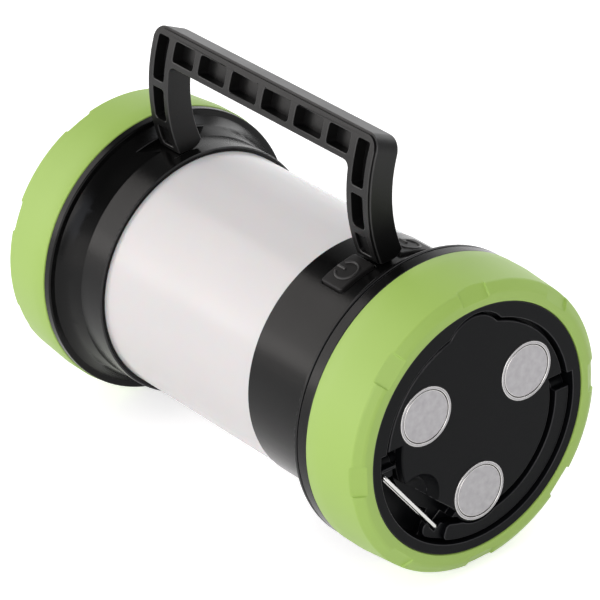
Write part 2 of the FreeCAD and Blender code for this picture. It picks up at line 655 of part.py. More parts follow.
def battery_cells():
    return Part.makeCompound(cell_bars(CELL_ENDS[0], CELL_ENDS[1], CELL_RADIUS))


# Head with the spotlight.
def head_housing():
    seat_start = LENGTH - BUMPER_LENGTH
    front = LENGTH - LIP_DEPTH
    socket = DIFFUSER_RADIUS + FIT_GAP
    flange_start = FLARE_PROFILE[-1][0]
    bulkhead_end = BULKHEAD_STATION + BULKHEAD_THICKNESS
    neck = [(HEAD_START, socket), (HEAD_START, NECK_RADIUS), (NECK_END, NECK_RADIUS)]
    shell = turned(neck + list(FLARE_PROFILE) + [
        (flange_start, HEAD_FLANGE_RADIUS), (seat_start, HEAD_FLANGE_RADIUS), (seat_start, SEAT_RADIUS),
        (front, SEAT_RADIUS), (front, LENS_BORE), (LENS_SEAT_STATION, LENS_BORE),
        (LENS_SEAT_STATION, HEAD_BORE), (bulkhead_end, HEAD_BORE), (bulkhead_end, 0),
        (BULKHEAD_STATION, 0), (BULKHEAD_STATION, socket)])
    shell = rounded_rims(shell, 0.6, [(flange_start, HEAD_FLANGE_RADIUS)])
    shell = rounded_rims(shell, NECK_ROUND, [(HEAD_START, NECK_RADIUS)])
    foot_start = foot_starts()[1]
    seat = block((foot_start - 0.5, foot_start + LEG_WIDTH + 0.5), (-FOOT_SEAT_REACH, FOOT_SEAT_REACH),
                 (FOOT_SEAT, REACH))
    lug, bore = handle_lug(foot_start, socket + 0.4)
    holes = [rod(0, LENGTH, 1.6, HEAD_SCREW_PITCH, angle) for angle in SCREW_ANGLES]
    return shell.cut(seat).fuse(lug).cut([bore, tube(0, LENGTH, 4.0)] + holes)


def heat_sink():
    """Finned block behind the spotlight board."""
    start = BULKHEAD_STATION + BULKHEAD_THICKNESS
    base = tube(start, start + 2.4, 26.0)
    post = tube(start, 155.0, 11.0)
    fin = block((start, 153.0), (-0.8, 0.8), (9, 25))
    fins = [around(fin, 30 * step) for step in range(12)]
    return base.fuse([post] + fins).cut(tube(0, LENGTH, 2.5))


def spot_board():
    return tube(155.0, 156.6, 10.0).cut([rod(0, LENGTH, 1.0, 7, angle) for angle in (0, 180)])


def spot_led():
    chip = block((156.6, 157.4), (-2.5, 2.5), (-2.5, 2.5))
    return chip.fuse(Part.makeSphere(2.2, at(157.3)).common(tube(157.0, 160.0, 3.0)))


def reflector():
    """Parabolic bowl with a flange that rests on the head's lens seat."""
    mouth = HEAD_BORE - REFLECTOR_WALL - 0.6
    depth = LENS_SEAT_STATION + 1.0
    gain = (depth - REFLECTOR_START) / (mouth ** 2 - REFLECTOR_THROAT ** 2)

    def bowl(wall):
        points = []
        for step in range(7):
            radius = REFLECTOR_THROAT + (mouth - REFLECTOR_THROAT) * step / 6
            station = REFLECTOR_START + gain * (radius ** 2 - REFLECTOR_THROAT ** 2)
            points.append(at(station, 0, radius + wall))
        curve = Part.BSplineCurve()
        curve.interpolate(points)
        rim = [points[-1], at(depth, 0, 0), at(REFLECTOR_START, 0, 0), points[0]]
        wire = Part.Wire([curve.toShape()] + list(Part.makePolygon(rim).Edges))
        return Part.Face(wire).revolve(at(0), Vector(1, 0, 0), 360)

    flange = tube(LENS_SEAT_STATION, depth, LENS_BORE - 0.1)
    return bowl(REFLECTOR_WALL).fuse(flange).cut(bowl(0))


def lens_stack(offset, thickness, bore=0.0, radius=LENS_BORE - 0.1):
    """Disc or ring of the lens stack, at an offset in front of the lens seat."""
    start = LENS_SEAT_STATION + offset
    return tube(start, start + thickness, radius, bore)


# Fasteners along the lantern.
def screws(head_start, shank_end, pitch, angles, shank, head, head_height):
    """Pan-head screws in a ring: heads at one station, tips at another."""
    inwards = 1 if shank_end > head_start else -1
    group = []
    for angle in angles:
        head_end = head_start + inwards * head_height
        cap = rod(min(head_start, head_end), max(head_start, head_end), head, pitch, angle)
        body = rod(min(head_end, shank_end), max(head_end, shank_end), shank, pitch, angle)
        group.append(cap.fuse(body))
    return Part.makeCompound(group)


# Folding handle: an arched frame with ribbed pockets on the side that faces -Y when it stands.
def arch_point(station, radius, angle):
    """Point given by its radius and angle about the line that the handle is bent round."""
    turn = math.radians(angle)
    return at(station, ARCH_Y - radius * math.cos(turn), ARCH_HEIGHT + radius * math.sin(turn))


def arch_block(stations, angles, radii):
    """Curved block of the handle from its ranges of station, arch angle and arch radius."""
    end = stations[1]
    inner, outer = radii
    low, high = angles
    middle = (low + high) / 2
    outline = Part.Wire([
        Part.Arc(*[arch_point(end, outer, angle) for angle in (low, middle, high)]).toShape(),
        Part.makeLine(arch_point(end, outer, high), arch_point(end, inner, high)),
        Part.Arc(*[arch_point(end, inner, angle) for angle in (high, middle, low)]).toShape(),
        Part.makeLine(arch_point(end, inner, low), arch_point(end, outer, low))])
    return Part.Face(outline).extrude(Vector(end - stations[0], 0, 0))


def rounded_corners(shape, corners, size):
    """Fillet the edges through the handle at the given (station, arch angle) corners."""
    chosen = []
    for edge in shape.Edges:
        if not isinstance(edge.Curve, Part.Line):
            continue
        spot = edge.CenterOfMass
        station = LENGTH / 2 - spot.x
        angle = math.degrees(math.atan2(spot.z - AXIS_HEIGHT - ARCH_HEIGHT, ARCH_Y - spot.y))
        if any(abs(station - s) < 0.05 and abs(angle - a) < 0.05 for s, a in corners):
            chosen.append(edge)
    return shape.makeFillet(size, chosen)


def pocket(stations, angles, depth):
    """Pocket with rounded corners, sunk into the handle's front."""
    hollow = arch_block(stations, angles, (ARCH_FRONT - depth, ARCH_FRONT + 2))
    corners = [(station, angle) for station in stations for angle in angles]
    return rounded_corners(hollow, corners, POCKET_CORNER)


def handle_pockets(near, far):
    """The pockets between the bar's ribs and down both legs."""
    half = RIB_PITCH * (RIB_COUNT - 1) / 2
    ribs = [HANDLE_MIDDLE - half + RIB_PITCH * step for step in range(RIB_COUNT)]
    starts = [near + BAR_POCKET_END] + [rib + HANDLE_RIB / 2 for rib in ribs]
    ends = [rib - HANDLE_RIB / 2 for rib in ribs] + [far - BAR_POCKET_END]
    pockets = [pocket(pair, BAR_POCKET_ANGLES, POCKET_DEPTH) for pair in zip(starts, ends)]
    outer, inner = LEG_POCKET
    for stations in ((near + outer, near + inner), (far - inner, far - outer)):
        pockets += [pocket(stations, angles, POCKET_DEPTH) for angles in LEG_POCKET_ANGLES]
        pockets.append(pocket(stations, FOOT_POCKET_ANGLES, FOOT_POCKET_DEPTH))
    return pockets


def front_rebate(near, far):
    """Narrow step round the outer edge of the handle's front."""
    band = arch_block((near - 1, far + 1), (ARCH_BOTTOM - 1, BAR_TOP + 2),
                      (ARCH_FRONT - REBATE_DEPTH, ARCH_FRONT + 1))
    stations = (near + REBATE_WIDTH, far - REBATE_WIDTH)
    top = BAR_TOP - math.degrees(REBATE_WIDTH / ARCH_FRONT)
    land = arch_block(stations, (ARCH_BOTTOM - 2, top), (ARCH_FRONT - 2, ARCH_FRONT + 2))
    land = rounded_corners(land, [(station, top) for station in stations], HANDLE_CORNER - REBATE_WIDTH)
    return band.cut(land)


def foot_cuts(near, far):
    """What the feet lose: the ends below the hinge, the heels, the lug slots and the pin bores."""
    bottom = HINGE_HEIGHT - FOOT_RADIUS
    ends = block((near - 1, far + 1), (-REACH, REACH), (0, bottom))
    heels = block((near - 1, far + 1), (0, REACH), (0, HINGE_HEIGHT))
    cuts = [ends, heels.cut(rod(near - 1, far + 1, FOOT_RADIUS, HINGE_HEIGHT, 90))]
    for start in foot_starts():
        low = start + (LEG_WIDTH - LUG_WIDTH) / 2 - LUG_GAP
        high = low + LUG_WIDTH + 2 * LUG_GAP
        cuts.append(block((low, high), (-SLOT_FRONT, REACH), (0, HINGE_HEIGHT + SLOT_HEIGHT)))
        cuts.append(pivot_bar(start))
    return cuts


def handle():
    near = foot_starts()[0]
    far = near + HANDLE_LENGTH
    frame = arch_block((near, far), (ARCH_BOTTOM, BAR_TOP), (ARCH_BACK, ARCH_FRONT))
    frame = rounded_corners(frame, [(near, BAR_TOP), (far, BAR_TOP)], HANDLE_CORNER)
    inside = (near + LEG_WIDTH, far - LEG_WIDTH)
    window = arch_block(inside, (ARCH_BOTTOM - 10, BAR_UNDER), (ARCH_BACK - 2, ARCH_FRONT + 2))
    window = rounded_corners(window, [(station, BAR_UNDER) for station in inside], HANDLE_INNER_CORNER)
    frame = frame.cut([window, front_rebate(near, far)])
    return frame.cut(handle_pockets(near, far)).cut(foot_cuts(near, far))


def pivot_bar(foot_start):
    """Hinge pin of one handle foot, seated blind in both cheeks."""
    return rod(foot_start + PIVOT_INSET, foot_start + LEG_WIDTH - PIVOT_INSET, PIVOT_RADIUS, HINGE_HEIGHT, 90)


def handle_pins():
    return Part.makeCompound([pivot_bar(start) for start in foot_starts()])


# Every piece, by the name of its node.
lens_front = SEAL_THICKNESS + 1.0
board_back = BOARD_STATION + BOARD_THICKNESS
PIECES = {
    "base_bumper": bumper(),
    "head_bumper": around(mirrored_ends(bumper()), HEAD_RING_TURN),
    "base_cover": base_cover(),
    "magnet_plate": magnet_plate(),
    "magnet_cups": magnet_cups(),
    "magnet_discs": magnet_discs(),
    "hook_body": hook_body(),
    "hook_gate": hook_gate(),
    "control_housing": control_housing(),
    "power_button": button(BUTTON_ANGLES["power_button"]),
    "mode_button": button(BUTTON_ANGLES["mode_button"]),
    "port_cover": port_cover(),
    "main_board": main_board(),
    "board_components": board_components(),
    "charge_socket": charge_socket(),
    "switch_boards": switch_boards(),
    "tact_switches": tact_switches(),
    "diffuser_tube": diffuser_tube(),
    "lower_seal": seal(LEDGE_STATION, DIFFUSER_SPIGOT),
    "upper_seal": seal(BULKHEAD_STATION - SEAL_THICKNESS, DIFFUSER_RADIUS),
    "light_core": light_core(),
    "led_strips": led_strips(),
    "strip_leds": strip_leds(),
    "cell_cradle": cell_cradle(),
    "battery_cells": battery_cells(),
    "head_housing": head_housing(),
    "heat_sink": heat_sink(),
    "spot_board": spot_board(),
    "spot_led": spot_led(),
    "reflector": reflector(),
    "lens_gasket": lens_stack(1.0, SEAL_THICKNESS, LENS_RING_BORE),
    "lens": lens_stack(lens_front, LENS_THICKNESS),
    "lens_ring": lens_stack(lens_front + LENS_THICKNESS, LENS_RING_WIDTH, LENS_RING_BORE),
    "handle": handle(),
    "handle_pins": handle_pins(),
    "base_screws": screws(PLATE_SEAT + 0.4, 21.0, SCREW_PITCH, SCREW_ANGLES, 1.3, 2.9, 2.2),
    "board_screws": screws(board_back + 1.6, 40.0, POST_PITCH, POST_ANGLES, 1.0, 2.2, 1.6),
    "head_screws": screws(150.0, 140.5, HEAD_SCREW_PITCH, SCREW_ANGLES, 1.3, 2.6, 2.6),
}

os.makedirs("parts", exist_ok=True)
for name, shape in PIECES.items():
    shape.exportStep("parts/" + name + ".step")
    state = "valid" if shape.isValid() else "INVALID"
    print(name, state, "solids", len(shape.Solids), "volume", round(shape.Volume, 1))
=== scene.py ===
import bmesh
import bpy
import json
import math
from mathutils import Matrix, Vector

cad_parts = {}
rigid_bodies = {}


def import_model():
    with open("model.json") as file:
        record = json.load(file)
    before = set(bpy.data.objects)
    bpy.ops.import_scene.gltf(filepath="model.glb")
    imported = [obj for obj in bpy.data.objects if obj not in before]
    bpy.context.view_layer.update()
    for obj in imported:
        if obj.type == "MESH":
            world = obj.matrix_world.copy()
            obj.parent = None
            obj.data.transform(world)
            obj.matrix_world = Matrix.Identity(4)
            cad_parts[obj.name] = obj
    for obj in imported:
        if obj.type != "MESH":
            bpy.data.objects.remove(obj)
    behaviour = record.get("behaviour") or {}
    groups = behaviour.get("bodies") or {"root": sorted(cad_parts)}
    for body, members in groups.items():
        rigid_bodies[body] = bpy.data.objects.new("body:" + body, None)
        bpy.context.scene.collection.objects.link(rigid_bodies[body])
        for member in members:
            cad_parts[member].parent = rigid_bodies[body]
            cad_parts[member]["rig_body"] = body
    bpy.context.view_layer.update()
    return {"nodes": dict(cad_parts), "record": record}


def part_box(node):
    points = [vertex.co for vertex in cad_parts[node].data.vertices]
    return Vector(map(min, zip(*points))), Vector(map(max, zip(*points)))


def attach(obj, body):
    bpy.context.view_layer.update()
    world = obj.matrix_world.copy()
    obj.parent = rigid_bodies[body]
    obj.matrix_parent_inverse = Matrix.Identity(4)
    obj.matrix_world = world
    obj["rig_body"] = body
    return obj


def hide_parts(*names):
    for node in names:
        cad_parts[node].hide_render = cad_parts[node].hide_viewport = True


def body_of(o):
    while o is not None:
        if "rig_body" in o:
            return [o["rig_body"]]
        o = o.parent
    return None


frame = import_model()

scene = bpy.context.scene
scene.view_settings.view_transform = "Standard"

# Sizes of the lantern in millimetres. Stations count along its axis from the base end.
MM = 0.001
LENGTH = 183.0
AXIS_HEIGHT = 49.9

# The head's cone and the steeper flare it runs into, as stations and radii.
HEAD_FLARE = ((148.0, 43.3), (154.6, 45.2), (157.1, 47.4))
FLARE_SLACK = 0.05

# The rubber bumpers: stations count from their own outer ends, and the head's ring is turned by degrees.
BUMPER_RADIUS = 49.9
BUMPER_LENGTH = 22.9
BUMPER_FACE_RADIUS = 45.8
BUMPER_BEVEL_DEPTH = 2.2
BUMPER_BEVEL_RADIUS = 48.7
BUMPER_TAPER_END = 16.0
BUMPER_BORE = 45.35
LIP_RADIUS = 42.0
LIP_DEPTH = 3.0
HEAD_RING_TURN = 21.0
RING_STEPS = 1440
RING_SHARP_ANGLE = math.radians(40)

# Rounded corners of a bumper's wall, as stations and radii from the corner.
LIP_ROUND = ((0.5, 0.0), (0.15, 0.12), (0.0, 0.45), (0.0, 1.6))
FACE_ROUND = ((0.0, -1.4), (0.0, -0.6), (0.06, -0.28), (0.2, 0.05))
BEVEL_ROUND = ((-0.05, -0.15), (0.25, 0.0))
END_ROUND = ((-0.7, 0.0), (-0.2, -0.2), (0.0, -0.7))

# Rows of points where the notches cut a bumper: shares of the bevel, then steps along the taper.
BEVEL_ROWS = 9
BEVEL_START = 0.08
BEVEL_SHARE = 0.84
TAPER_ROWS = 8
TAPER_STEP = 0.3
TAPER_RISE = 0.026
TAPER_MIDDLE = (6.5, 49.06)

NOTCH_COUNT = 8
NOTCH_WIDTH = 10.6
NOTCH_DEPTH = 1.4
NOTCH_LENGTH = 3.5
NOTCH_SOFTNESS = 0.3

# The standby signs: degrees round the axis, the ring's gap in degrees and the bar's reach in ring radii.
BUTTON_STATION = 46.7
BUTTON_TOP = 43.1
BUTTON_TURNS = {"power_button": 106.5, "mode_button": 73.5}
SIGN_RADIUS = 3.8
SIGN_LINE = 0.46
SIGN_GAP = 64.0
SIGN_BAR = (0.2, 1.12)
SIGN_ARC_POINTS = 48
SIGN_SECTION_POINTS = 10

# Widths of the rounded edges that a mould, or tumbling before plating, leaves on each piece.
MOULDED_EDGES = {
    "handle": 0.3, "base_cover": 0.25, "hook_body": 0.3, "magnet_plate": 0.25, "control_housing": 0.25,
    "head_housing": 0.25, "lens_ring": 0.3, "power_button": 0.2, "mode_button": 0.2, "port_cover": 0.2}
PLATED_EDGES = {"magnet_cups": 0.18, "magnet_discs": 0.18}
FLAT_SIDED = ("handle", "base_cover", "hook_body", "magnet_plate")
TURNED = ("control_housing", "head_housing")

# An edge is rounded where it is this sharp, and its faces run inwards for this many widths. A face's far
# side is its corners that lie inwards by this share of their distance aside.
CORNER_ANGLE = math.radians(70)
ROUND_ROOM = 2.2
ROUND_SEGMENTS = 2
FAR_SIDE_SHARE = 0.6
LEAST_ASIDE = 0.01

# Shading: facets meet smoothly below one angle, and merge into one flat face below the other.
SMOOTH_ANGLE = math.radians(48)
FLAT_ANGLE = math.radians(0.5)
FLAT_WEIGHT = 90
WELD_DISTANCE = 0.001

# A face counts as turned where its normal leans round the axis by less than this.
TURNED_SLACK = 0.16

# Rims of the magnet plate and the head painted paler as a highlight: their depth, inner radius and least and
# most lean.
RIM_DEPTH = 0.8
RIM_INNER = 33.5
RIM_LEANS = {"magnet_plate": (0.15, 0.97), "head_housing": (0.15, 1.01)}

# Finishes: how far roughness drifts from patch to patch, how fine the noise is, and the grain's height.
GLOSS_DRIFT = 0.06
PATCH_DETAIL = 3.0
GRAIN_DETAIL = 2.0
GRAIN_HEIGHT = 0.1

# Pieces with a finish of their own; the others have their slot's.
OWN_FINISHES = {"base_cover": "base_plastic", "magnet_plate": "base_plastic", "hook_body": "base_plastic",
                "handle": "handle_plastic"}

# The photograph's camera: a long lens a little over a metre from the lantern's base end.
CAMERA_PLACE = Vector((0.8934, -0.6725, 0.6833))
CAMERA_FORWARD = Vector((-0.69608, 0.5263, -0.4884)).normalized()
CAMERA_UP = Vector((-0.35852, 0.3346, 0.8715))
CAMERA_LENS_MM = 240.0
CAMERA_SENSOR_MM = 36.0
CAMERA_CLIP_START = 0.05

# The studio: the floor's reach in metres, strengths of light at which one is white, and how high a view
# points where the dim ceiling starts and where it is full.
FLOOR_REACH = 6.0
PAPER_LIFT = 0.6
PAPER_STRENGTH = 0.75
CEILING_STRENGTH = 0.12
CEILING_START = 0.36
CEILING_FULL = 0.72
FILL_STRENGTH = 0.36

# Soft boxes: place and size in metres, power in watts, colour, and roll in degrees. The key box leans so that
# its long side runs across the lantern, and its edges show in the diffuser.
LIGHT_AIM = Vector((0.0, 0.0, 0.06))
SOFT_BOXES = {
    "key_box": ((-1.0, -0.71, 0.79), (0.5, 1.44), 7.3, "#fffaf7", 36.0),
    "left_box": ((-0.49, -1.34, 0.28), (2.0, 0.55), 4.2, "#fffaf7", 0.0),
    "front_box": ((1.0, -0.85, 0.61), (1.1, 0.75), 7.5, "#fffaf7", 0.0),
    "side_box": ((0.2, -1.15, 0.72), (0.75, 0.65), 2.6, "#eef2ff", 0.0),
    "top_box": ((0.0, 0.85, 1.15), (0.9, 0.9), 6.2, "#f9fbff", 0.0),
    "back_box": ((-0.75, 1.1, 0.25), (1.6, 0.8), 2.9, "#ffffff", 0.0),
    "rim_box": ((-0.25, 1.22, 0.3), (0.6, 0.4), 1.5, "#ffffff", 0.0)}


def linear(colour):
    """An sRGB hex colour as linear red, green, blue and alpha."""
    parts = [int(colour[place:place + 2], 16) / 255 for place in (1, 3, 5)]
    return [part / 12.92 if part <= 0.04045 else ((part + 0.055) / 1.055) ** 2.4 for part in parts] + [1.0]


def add(tree, kind, values=(), links=(), **settings):
    """Add a node to a tree with its settings, input values and links."""
    node = tree.nodes.new(kind)
    for name, value in settings.items():
        setattr(node, name, value)
    for name, value in dict(values).items():
        node.inputs[name].default_value = value
    for name, source in dict(links).items():
        tree.links.new(source, node.inputs[name])
    return node


def make_camera():
    """A camera from its place, its forward direction and its rough up direction."""
    lens = bpy.data.cameras.new("camera")
    lens.lens = CAMERA_LENS_MM
    lens.sensor_width = CAMERA_SENSOR_MM
    lens.clip_start = CAMERA_CLIP_START
    camera = bpy.data.objects.new("camera", lens)
    scene.collection.objects.link(camera)
    right = CAMERA_FORWARD.cross(CAMERA_UP).normalized()
    up = right.cross(CAMERA_FORWARD)
    turn = Matrix((right, up, -CAMERA_FORWARD)).transposed().to_4x4()
    camera.matrix_world = Matrix.Translation(CAMERA_PLACE) @ turn
    scene.camera = camera


def seen_directly(tree):
    """One for rays from the camera, from gloss and through glass, which see the white studio paper."""
    path = add(tree, "ShaderNodeLightPath")
    either = add(tree, "ShaderNodeMath", operation="MAXIMUM",
                 links={0: path.outputs["Is Camera Ray"], 1: path.outputs["Is Glossy Ray"]})
    any_of_them = add(tree, "ShaderNodeMath", operation="MAXIMUM",
                      links={0: either.outputs[0], 1: path.outputs["Is Transmission Ray"]})
    return any_of_them.outputs[0]


def make_floor():
    """A wide floor of studio paper."""
    floor_mesh = bpy.data.meshes.new("floor")
    corners = [(-FLOOR_REACH, -FLOOR_REACH, 0), (FLOOR_REACH, -FLOOR_REACH, 0),
               (FLOOR_REACH, FLOOR_REACH, 0), (-FLOOR_REACH, FLOOR_REACH, 0)]
    floor_mesh.from_pydata(corners, [], [(0, 1, 2, 3)])
    floor = bpy.data.objects.new("floor", floor_mesh)
    scene.collection.objects.link(floor)

    # Matt white studio paper: it takes the lantern's soft shadow and otherwise goes to plain white.
    paper = bpy.data.materials.new("studio_paper")
    paper.use_nodes = True
    tree = paper.node_tree
    tree.nodes.clear()
    matt = add(tree, "ShaderNodeBsdfDiffuse", {"Color": linear("#e6e6e6")})
    lift = add(tree, "ShaderNodeEmission", {"Color": linear("#ffffff"), "Strength": PAPER_LIFT})
    both = add(tree, "ShaderNodeAddShader", links={0: matt.outputs[0], 1: lift.outputs[0]})
    pick = add(tree, "ShaderNodeMixShader",
               links={0: seen_directly(tree), 1: matt.outputs[0], 2: both.outputs[0]})
    add(tree, "ShaderNodeOutputMaterial", links={"Surface": pick.outputs[0]})
    floor_mesh.materials.append(paper)


def make_studio():
    """A white backdrop for the camera, paper under a dim ceiling for gloss and glass, and even fill light."""
    world = bpy.data.worlds.new("studio")
    scene.world = world
    world.use_nodes = True
    tree = world.node_tree
    tree.nodes.clear()
    direction = add(tree, "ShaderNodeTexCoord")
    towards = add(tree, "ShaderNodeSeparateXYZ", links={0: direction.outputs["Generated"]})
    ceiling = add(tree, "ShaderNodeMapRange",
                  {"From Min": CEILING_START, "From Max": CEILING_FULL,
                   "To Min": PAPER_STRENGTH, "To Max": CEILING_STRENGTH},
                  {"Value": towards.outputs["Z"]}, interpolation_type="SMOOTHSTEP")
    path = add(tree, "ShaderNodeLightPath")
    backdrop = add(tree, "ShaderNodeMath", operation="MAXIMUM",
                   links={0: path.outputs["Is Camera Ray"], 1: ceiling.outputs[0]})
    strength = add(tree, "ShaderNodeMapRange", {"To Min": FILL_STRENGTH},
                   {"Value": seen_directly(tree), "To Max": backdrop.outputs[0]})
    sky = add(tree, "ShaderNodeBackground", {"Color": linear("#ffffff")}, {"Strength": strength.outputs[0]})
    add(tree, "ShaderNodeOutputWorld", links={"Surface": sky.outputs[0]})


def make_lights():
    """Studio soft boxes that face the lantern, each turned about its own axis by its roll."""
    for name, (place, size, power, colour, roll) in SOFT_BOXES.items():
        lamp = bpy.data.lights.new(name, "AREA")
        lamp.color = linear(colour)[:3]
        lamp.shape = "RECTANGLE"
        lamp.size, lamp.size_y = size
        lamp.energy = power
        light = bpy.data.objects.new(name, lamp)
        scene.collection.objects.link(light)
        facing = (LIGHT_AIM - Vector(place)).to_track_quat("-Z", "Y").to_matrix().to_4x4()
        turn = Matrix.Rotation(math.radians(roll), 4, "Z")
        light.matrix_world = Matrix.Translation(place) @ facing @ turn


def finish(name, colours, rough, patch_mm, grain_mm, grain, **sockets):
    """A surface whose tone and gloss drift in patches, with a fine grain in relief."""
    material = bpy.data.materials.new(name)
    material.use_nodes = True
    tree = material.node_tree
    shader = tree.nodes["Principled BSDF"]
    for socket, value in sockets.items():
        shader.inputs[socket.replace("_", " ")].default_value = value
    place = add(tree, "ShaderNodeTexCoord").outputs["Object"]
    patches = add(tree, "ShaderNodeTexNoise", {"Scale": 1 / (patch_mm * MM), "Detail": PATCH_DETAIL},
                  {"Vector": place})
    # Inputs 6 and 7 of a Mix node are its two colours.
    tone = add(tree, "ShaderNodeMix", {6: linear(colours[0]), 7: linear(colours[1])},
               {0: patches.outputs["Fac"]}, data_type="RGBA")
    gloss = add(tree, "ShaderNodeMapRange", {"To Min": rough - GLOSS_DRIFT, "To Max": rough + GLOSS_DRIFT},
                {"Value": patches.outputs["Fac"]})
    bumps = add(tree, "ShaderNodeTexNoise", {"Scale": 1 / (grain_mm * MM), "Detail": GRAIN_DETAIL},
                {"Vector": place})
    relief = add(tree, "ShaderNodeBump", {"Strength": grain, "Distance": GRAIN_HEIGHT * MM},
                 {"Height": bumps.outputs["Fac"]})
    tree.links.new(tone.outputs[2], shader.inputs["Base Color"])
    tree.links.new(gloss.outputs[0], shader.inputs["Roughness"])
    tree.links.new(relief.outputs["Normal"], shader.inputs["Normal"])
    return material


def rubber_and_plastic():
    """Moulded finishes by the record's slots; a second, paler one in a list is for rounded edges, a painted
    highlight.
    """
    made = {}
    # Thermoplastic rubber, moulded with a fine matt texture: soft even green with a broad pale sheen.
    made["green_rubber"] = [
        finish("moulded_green_rubber", ("#99ba53", "#9ebe5a"), rough=0.5, patch_mm=25, grain_mm=0.6,
               grain=0.12, Specular_IOR_Level=0.7)]
    # ABS from a spark-eroded mould: near-black satin, with a sparkle too fine to resolve drawn at 0.6 mm.
    made["black_plastic"] = [
        finish("moulded_black_abs", ("#060606", "#0a0a0a"), rough=0.22, patch_mm=18, grain_mm=0.6, grain=0.2,
               Specular_IOR_Level=0.16),
        # A paler grey for the rounded edges: a painted highlight.
        finish("black_abs_edge_highlight", ("#1e1e1f", "#262627"), rough=0.34, patch_mm=6, grain_mm=0.6, grain=0.1,
               Specular_IOR_Level=0.3)]
    # Satin ABS of the base: drier than the housing, so that the magnets stand out on it.
    made["base_plastic"] = [
        finish("satin_black_abs", ("#090a0c", "#0d0e10"), rough=0.36, patch_mm=18, grain_mm=0.6, grain=0.2,
               Specular_IOR_Level=0.08),
        # A paler grey for the rounded edges: a painted highlight.
        finish("base_abs_edge_highlight", ("#1c1c1f", "#242427"), rough=0.34, patch_mm=6, grain_mm=0.6, grain=0.1,
               Specular_IOR_Level=0.3)]
    # Glass-filled nylon of the handle: black with a greyer, drier sheen, and pale edges that are a painted
    # highlight.
    made["handle_plastic"] = [
        finish("glass_filled_nylon", ("#0b0b0b", "#101010"), rough=0.38, patch_mm=12, grain_mm=0.7, grain=0.3,
               Specular_IOR_Level=0.27),
        finish("nylon_edge_highlight", ("#2a2a2a", "#343434"), rough=0.36, patch_mm=5, grain_mm=0.7, grain=0.15,
               Specular_IOR_Level=0.4)]
    # Silicone rubber of the buttons: a little warmer and more matt than the housing.
    made["button_rubber"] = [
        finish("moulded_black_silicone", ("#151414", "#1b1a1a"), rough=0.55, patch_mm=10, grain_mm=0.5,
               grain=0.2, Specular_IOR_Level=0.35),
        # A paler grey for the rounded edges and the signs: a painted highlight.
        finish("silicone_edge_highlight", ("#2a2929", "#323131"), rough=0.45, patch_mm=5, grain_mm=0.5, grain=0.1)]
    # Frosted polycarbonate of the diffuser: milky white, and its satin skin mirrors the soft boxes faintly.
    made["frosted_plastic"] = [
        finish("frosted_polycarbonate", ("#d8d4d4", "#d3d1d1"), rough=0.22, patch_mm=30, grain_mm=0.7,
               grain=0.05, Specular_IOR_Level=0.24, Subsurface_Weight=0.25, Subsurface_Scale=0.004)]
    # White ABS of the light core: plain semi-matt white.
    made["white_plastic"] = [
        finish("moulded_white_abs", ("#e6e6e4", "#dededc"), rough=0.5, patch_mm=20, grain_mm=0.6, grain=0.1)]
    # Clear polycarbonate of the lens: glass-like, with the faintest waviness.
    made["clear_plastic"] = [
        finish("clear_polycarbonate", ("#f6f8f8", "#f2f5f5"), rough=0.08, patch_mm=30, grain_mm=8, grain=0.02,
               Transmission_Weight=1.0, IOR=1.58)]
    # Nitrile rubber of the gaskets: dull dark grey.
    made["seal_rubber"] = [
        finish("nitrile_rubber", ("#1e1e1e", "#262626"), rough=0.7, patch_mm=6, grain_mm=0.4, grain=0.2)]
    return made


def metal_and_electrics():
    """Finishes of the magnets, the wire and the insides, by the record's slots."""
    made = {}
    # Nickel plate over steel, tumbled: pale grey metal with a cloudy matt bloom, and brighter edges that are
    # a painted highlight.
    made["nickel_plate"] = [
        finish("nickel_plated_steel", ("#8f8d8f", "#b1afb1"), rough=0.4, patch_mm=2.2, grain_mm=0.5,
               grain=0.2, Metallic=1.0),
        finish("nickel_edge_highlight", ("#d2d0ce", "#dad8d6"), rough=0.22, patch_mm=4, grain_mm=0.5,
               grain=0.05, Metallic=1.0)]
    # Drawn stainless steel: bright, with a faint mottle.
    made["bright_steel"] = [
        finish("drawn_stainless_steel", ("#c9c8c6", "#d6d5d3"), rough=0.24, patch_mm=3, grain_mm=0.4,
               grain=0.08, Metallic=1.0)]
    # Glass-fibre board under green solder mask, with its copper showing as paler patches.
    made["circuit_board"] = [
        finish("solder_masked_board", ("#1f5a34", "#2f7444"), rough=0.38, patch_mm=2.5, grain_mm=0.3,
               grain=0.2)]
    # Black moulded epoxy and nylon of the components: dull, with a fine grain.
    made["dark_components"] = [
        finish("moulded_epoxy", ("#1a1a1c", "#262628"), rough=0.5, patch_mm=4, grain_mm=0.3, grain=0.2)]
    # Phosphor gel of the LEDs: warm yellow, slightly glossy.
    made["led_phosphor"] = [
        finish("phosphor_gel", ("#e8c850", "#f0d878"), rough=0.3, patch_mm=1, grain_mm=0.3, grain=0.1)]
    # Shrink film on the cells: glossy blue-green.
    made["cell_wrap"] = [
        finish("shrink_film", ("#2b6f86", "#347d95"), rough=0.28, patch_mm=12, grain_mm=1.5, grain=0.1)]
    # Extruded aluminium of the heat sink: pale satin grey.
    made["bare_aluminium"] = [
        finish("extruded_aluminium", ("#bcbec0", "#cdcfd0"), rough=0.35, patch_mm=4, grain_mm=0.4,
               grain=0.15, Metallic=1.0)]
    # Vacuum-metallised plastic of the reflector: a mirror with a slight orange peel.
    made["bright_reflector"] = [
        finish("vacuum_metallised_abs", ("#e4e4e6", "#ececee"), rough=0.1, patch_mm=10, grain_mm=3.0,
               grain=0.12, Metallic=1.0)]
    return made


def paint_solids():
    """Give every CAD node its slot's finish."""
    for node, solid in frame["nodes"].items():
        solid.data.materials.clear()
        solid.data.materials.append(FINISHES[SLOTS[node]][0])


